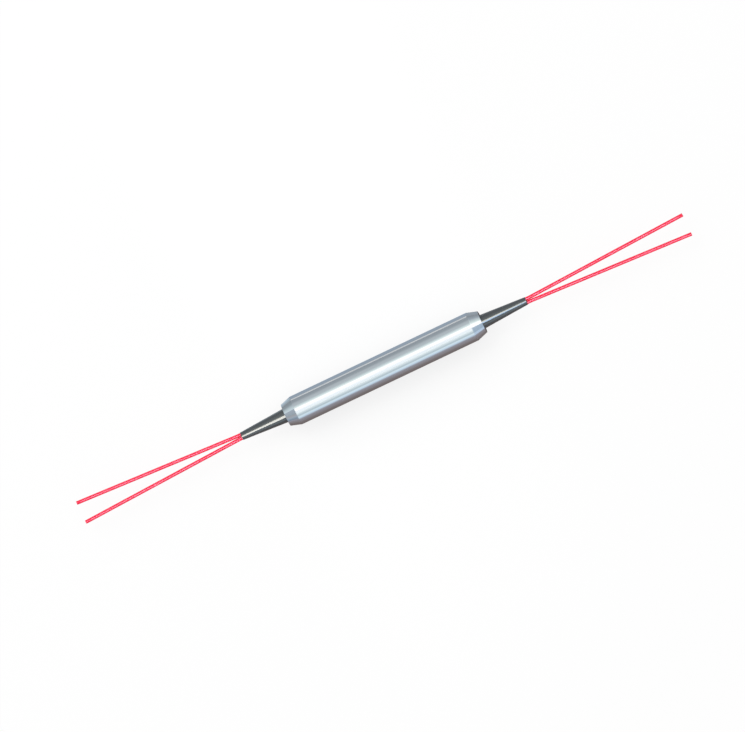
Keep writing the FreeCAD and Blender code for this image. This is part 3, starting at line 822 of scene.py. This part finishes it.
shine_on(tubes, "tube_key", MIDDLE, -14, 28, (7.8, 10.4, 13.6), (7.8, 10.4, 13.6), satin=True)
hang("left_wall", LEFT, -90, -68, (0.29, 0.33, 0.36), (0.325, 0.38, 0.41))
hang("left_rise", LEFT, -68, -50, (0.325, 0.38, 0.41), (0.50, 0.585, 0.62))
hang("left_glow", LEFT, -50, -20.5, (0.51, 0.60, 0.635), (0.70, 0.82, 0.86))
hang("left_card", LEFT, -20.5, 27, (0.43, 0.49, 0.56), (0.365, 0.425, 0.47))
hang("left_warm", LEFT, 27, 40, (0.41, 0.405, 0.43), (0.42, 0.44, 0.48))
hang("left_cool", LEFT, 40, 54, (0.42, 0.465, 0.52), (0.39, 0.45, 0.52))
hang("left_deep", LEFT, 54, 76, (0.32, 0.41, 0.50), (0.235, 0.275, 0.335))
hang("right_wall", RIGHT, -90, -68, (0.295, 0.34, 0.37), (0.38, 0.43, 0.485))
hang("right_rise", RIGHT, -68, -52, (0.38, 0.43, 0.485), (0.575, 0.655, 0.68))
hang("right_glow", RIGHT, -52, -36, (0.575, 0.655, 0.68), (0.71, 0.825, 0.82))
hang("right_bright", RIGHT, -36, -20.5, (0.71, 0.825, 0.82), (1.1, 1.16, 1.14))
hang("right_key", RIGHT, -20.5, 8.5, (1.35, 1.35, 1.35), (1.25, 1.25, 1.25))
hang("right_card", RIGHT, 8.5, 54, (0.46, 0.575, 0.70), (0.405, 0.515, 0.63))
hang("right_strip", RIGHT, 54, 76, (0.54, 0.68, 0.84), (0.56, 0.70, 0.88))

# Cards across the ends, which put a band of light on the turned faces in a view along X
END_LIGHT = (1.1, 1.13, 1.15)
for end, side in ENDS.items():
    stand(f"{end}_end_rise", side, -110, -30, CLOTH_COLOUR, END_LIGHT)
    stand(f"{end}_end_fall", side, -30, 40, END_LIGHT, (0.46, 0.54, 0.63))

# Cards on the floor: each has its reach along X and along Y, and its two colours
WIDE = (-900, 900)
lay("far_floor", WIDE, 4, 600, (0.28, 0.31, 0.34), (0.30, 0.34, 0.38))
lay("far_line", (-29.5, 24.2), 25, 105, (0.72, 0.74, 0.75), (0.72, 0.74, 0.75), ON_TOP)
lay("far_blue", (-25.9, 24.9), 4, 25, (0.32, 0.39, 0.48), (0.36, 0.42, 0.47), ON_TOP)
lay("right_far", (25.0, 60), 4, 34, (0.35, 0.40, 0.45), (0.31, 0.35, 0.38), ON_TOP)
lay("left_blue", (-60, -25.9), 4, 12, (0.57, 0.68, 0.78), (0.39, 0.47, 0.53), ON_TOP)
lay("left_pale", (-60, -26.5), 12, 34, (0.39, 0.47, 0.53), (0.32, 0.36, 0.38), ON_TOP)
lay("near_brown", WIDE, -30, -4, (0.275, 0.255, 0.27), (0.18, 0.15, 0.145))
lay("near_mauve", WIDE, -600, -30, (0.30, 0.28, 0.31), (0.28, 0.26, 0.28))
lay("left_near", (-60, -25.2), -30, -4, (0.295, 0.27, 0.285), (0.185, 0.155, 0.15), ON_TOP)
lay("right_near", (25.2, 60), -30, -4, (0.315, 0.29, 0.31), (0.20, 0.17, 0.165), ON_TOP)
lay("under", WIDE, -4, 4, (0.09, 0.07, 0.065), (0.09, 0.07, 0.065))


# The side of a lamp, and the strength of the sky where it only lights
LAMP_SIZE = 0.7
SKY_LIGHT = 0.7


def lamp(name, energy, place):
    """A square lamp of so many watts, turned to the coupler, which nothing mirrors."""
    light = bpy.data.objects.new(name, bpy.data.lights.new(name, "AREA"))
    light.data.shape = "SQUARE"
    light.data.size = LAMP_SIZE
    light.data.energy = energy
    light.location = place
    light.rotation_mode = "QUATERNION"
    light.rotation_quaternion = Vector(place).to_track_quat("Z", "Y")
    light.visible_glossy = False
    bpy.context.scene.collection.objects.link(light)
    return light


def light_the_set():
    """Two soft lamps under a white sky, which is brighter to look at than it lights."""
    lamp("soft_lamp", 4.7, (-0.285, 0.628, 0.58))
    near_fill = lamp("near_fill", 3.0, (0.2, -0.75, 0.3))
    only_lights(near_fill, [*tubes, left_boot, right_boot, left_cap, right_cap, housing])
    world = bpy.data.worlds.new("studio")
    bpy.context.scene.world = world
    world.use_nodes = True
    tree = Nodes(world.node_tree)
    level = tree.add("ShaderNodeMapRange", {
        "Value": seen_directly(tree), "To Min": SKY_LIGHT, "To Max": 1.0})
    background = world.node_tree.nodes["Background"].inputs
    tree.feed(background["Strength"], level.outputs["Result"])
    tree.feed(background["Color"], (1, 1, 1, 1))


make_floor()
light_the_set()
bpy.context.scene.view_settings.view_transform = "Standard"
